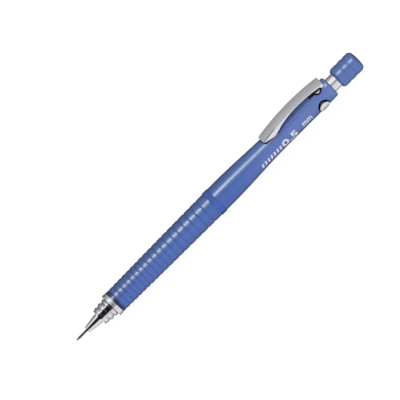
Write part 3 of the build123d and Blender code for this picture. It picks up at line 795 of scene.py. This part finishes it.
def make_floor():
    """A pale, plain floor that the pencil lies on. To the camera it is almost evenly white."""
    low = CAD_BOX[0][2]
    square = ((-1, -1), (1, -1), (1, 1), (-1, 1))
    corners = [(x * FLOOR_HALF, y * FLOOR_HALF, low) for x, y in square]
    floor = new_object("floor", mesh_from("floor", corners, [(0, 1, 2, 3)]))
    s = Shader("floor_paper")
    grain = s.noise(s.stretched(0.4, 0.4, 0.4))
    s.set(Base_Color=s.blend(s.range(grain, 0.2, 0.8), *PAPER), Roughness=0.9)
    lit = s.node("BsdfDiffuse")
    lit.inputs["Color"].default_value = FLOOR_LIT
    glow = s.node("Emission")
    glow.inputs["Strength"].default_value = FLOOR_GLOW
    seen = s.node("AddShader")
    s.feed(lit.outputs[0], seen.inputs[0])
    s.feed(glow.outputs[0], seen.inputs[1])
    either = s.node("MixShader")
    s.feed(s.node("LightPath").outputs["Is Camera Ray"], either.inputs["Fac"])
    s.feed(s.surface.outputs[0], either.inputs[1])
    s.feed(seen.outputs[0], either.inputs[2])
    s.feed(either.outputs[0], s.output.inputs["Surface"])
    floor.data.materials.append(s.material)
    floor.visible_glossy = False


# ---- light --------------------------------------------------------------------------------------
GLINT_SPREAD = 6.0  # degrees across
FRONT_GLINT = {"elevation": 86.0, "power": 2.9, "tint": (0.80, 0.98, 1.0)}
REAR_GLINT = {"elevation": 80.0, "power": 2.5, "tint": (0.74, 0.96, 1.22)}
DARK_STRIPE_HALF = 17.5  # degrees round the nose, to both sides of what faces the camera
DARK_LEAN = (0.03, 0.05)  # a face's lean along the pencil at which the dark starts and is full
DARK_LEAN_END = 0.78
FLANGE_LEAN = (0.105, 0.008)  # middle and half width of a gap in the dark, seen by the nose's flange
BLACK = (0.012, 0.012, 0.013, 1)
CARD_DISTANCE = 0.35  # metres
CARD_SPREAD = 2 * DARK_STRIPE_HALF  # degrees above and below the camera's line of sight
CARD_X = (-0.06, 0.03)  # metres
WHITE = (1.0, 1.0, 1.0, 1)
RING_START = (0.6, 0.6, 0.61, 1)
RING_BLUER = 1.02
# What a mirror-bright surface sees round the pencil: (degrees up from the -Y side, brightness).
STUDIO_RING = (
    (-176, 0.12), (-150, 0.12), (-122, 0.16), (-100, 0.30), (-84, 0.42), (-60, 0.80), (-16, 0.80),
    (-4, 0.62), (3, 0.95), (12, 0.75), (24, 0.55), (32, 0.42), (50, 0.40), (57, 0.55), (63, 0.95),
    (104, 0.95), (114, 0.5), (135, 0.42), (151, 0.32), (164, 0.18), (179, 0.12),
)


def make_glint(name, pieces, elevation, power, tint):
    """A soft far light over the -Y side. Only the shine of the named pieces of blue plastic shows
    it, as a streak along the pencil."""
    shiny = bpy.data.collections.new(name + "_pieces")
    for piece in pieces:
        shiny.objects.link(NODES[piece])
    lamp = new_object(name, bpy.data.lights.new(name, "SUN"))
    lamp.data.angle = radians(GLINT_SPREAD)
    lamp.data.energy = power
    lamp.data.color = tint
    lamp.rotation_euler = outward(elevation).to_track_quat("Z", "Y").to_euler()
    lamp.visible_diffuse = False
    lamp.light_linking.receiver_collection = shiny


def make_card():
    """A black card by the camera. It shows only as the dark stripe along the chrome nose."""
    half = CARD_DISTANCE * tan(radians(CARD_SPREAD))
    middle = outward(VIEW_ELEVATION) * CARD_DISTANCE
    low_x, high_x = CARD_X
    outline = ((low_x, -half), (high_x, -half), (high_x, half), (low_x, half))
    corners = [middle + Vector((x, 0, 0)) + view_above() * side for x, side in outline]
    card = new_object("black_card", mesh_from("black_card", corners, [(0, 1, 2, 3)]))
    card.data.materials.append(plain_plastic("card_felt", BLACK, 0.9, 0.2))
    card.visible_camera = False
    card.visible_diffuse = False
    card.visible_transmission = False
    card.visible_shadow = False


def dark_stripe(g, direction):
    """1 where the room is black. A face on the nose mirrors what lies as far beyond its own normal
    as the camera lies before it, so the normal is halfway between the two directions."""
    halfway = g.node("VectorMath", operation="ADD")
    g.feed(direction, halfway.inputs[0])
    halfway.inputs[1].default_value = outward(VIEW_ELEVATION)
    facing = g.axes(g.unit(halfway.outputs[0]))
    turned = g.math("ARCTAN2", facing["Z"], g.product(facing["Y"], -1.0))
    aside = g.math("ABSOLUTE", g.math("SUBTRACT", turned, radians(VIEW_ELEVATION)))
    steep = g.math("ABSOLUTE", facing["X"])
    off_flange = g.math("ABSOLUTE", g.math("SUBTRACT", facing["X"], FLANGE_LEAN[0]))
    return g.product(
        g.range(steep, *DARK_LEAN),
        g.math("LESS_THAN", aside, radians(DARK_STRIPE_HALF)),
        g.math("LESS_THAN", steep, DARK_LEAN_END),
        g.math("GREATER_THAN", off_flange, FLANGE_LEAN[1]),
    )


def make_world():
    """Soft white room. Shiny surfaces see a banded version of it."""
    world = bpy.data.worlds.new("studio")
    bpy.context.scene.world = world
    world.use_nodes = True
    g = Graph(world.node_tree)
    g.tree.nodes.clear()
    direction = g.node("TexCoord").outputs["Generated"]
    axes = g.axes(direction)
    rise = g.math("ARCTAN2", axes["Z"], g.product(axes["Y"], -1.0))
    bands = g.node("ValToRGB")
    g.feed(g.math("DIVIDE", g.math("ADD", rise, pi), 2 * pi), bands.inputs[0])
    stops = bands.color_ramp.elements
    stops.remove(stops[-1])
    stops[0].position = 0.0
    stops[0].color = RING_START
    for angle, value in STUDIO_RING:
        stop = stops.new((angle + 180) / 360)
        stop.color = (value, value, value * RING_BLUER, 1)
    banded = g.blend(dark_stripe(g, direction), bands.outputs["Color"], BLACK)
    is_glossy = g.node("LightPath").outputs["Is Glossy Ray"]
    sky = g.node("Background")
    g.feed(g.blend(is_glossy, WHITE, banded), sky.inputs["Color"])
    g.feed(sky.outputs[0], g.node("OutputWorld").inputs["Surface"])


# ---- build --------------------------------------------------------------------------------------
drawn_steel = turned_metal("drawn_steel", STEEL, 0.22)
white_print = plain_plastic("white_print", PRINT_WHITE, 0.45, 0.04)
paint_nodes(drawn_steel)
clip = make_clip()
clip.data.materials.append(brushed_clip())
spring = make_spring()
spring.data.materials.append(drawn_steel)
marks = (
    make_dashes("print_dashes", **DASHES),
    make_lettering("print_size", **SIZE_MARK),
    make_lettering("print_unit", **UNIT_MARK),
)
for mark in marks:
    mark.data.materials.append(white_print)
    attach(mark, "barrel")
make_floor()
make_world()
make_glint("glint_body", ("barrel",), **FRONT_GLINT)
make_glint("glint_rear", ("rear_bush", "push_cap"), **REAR_GLINT)
make_card()
make_camera()
bpy.context.scene.view_settings.view_transform = "Standard"
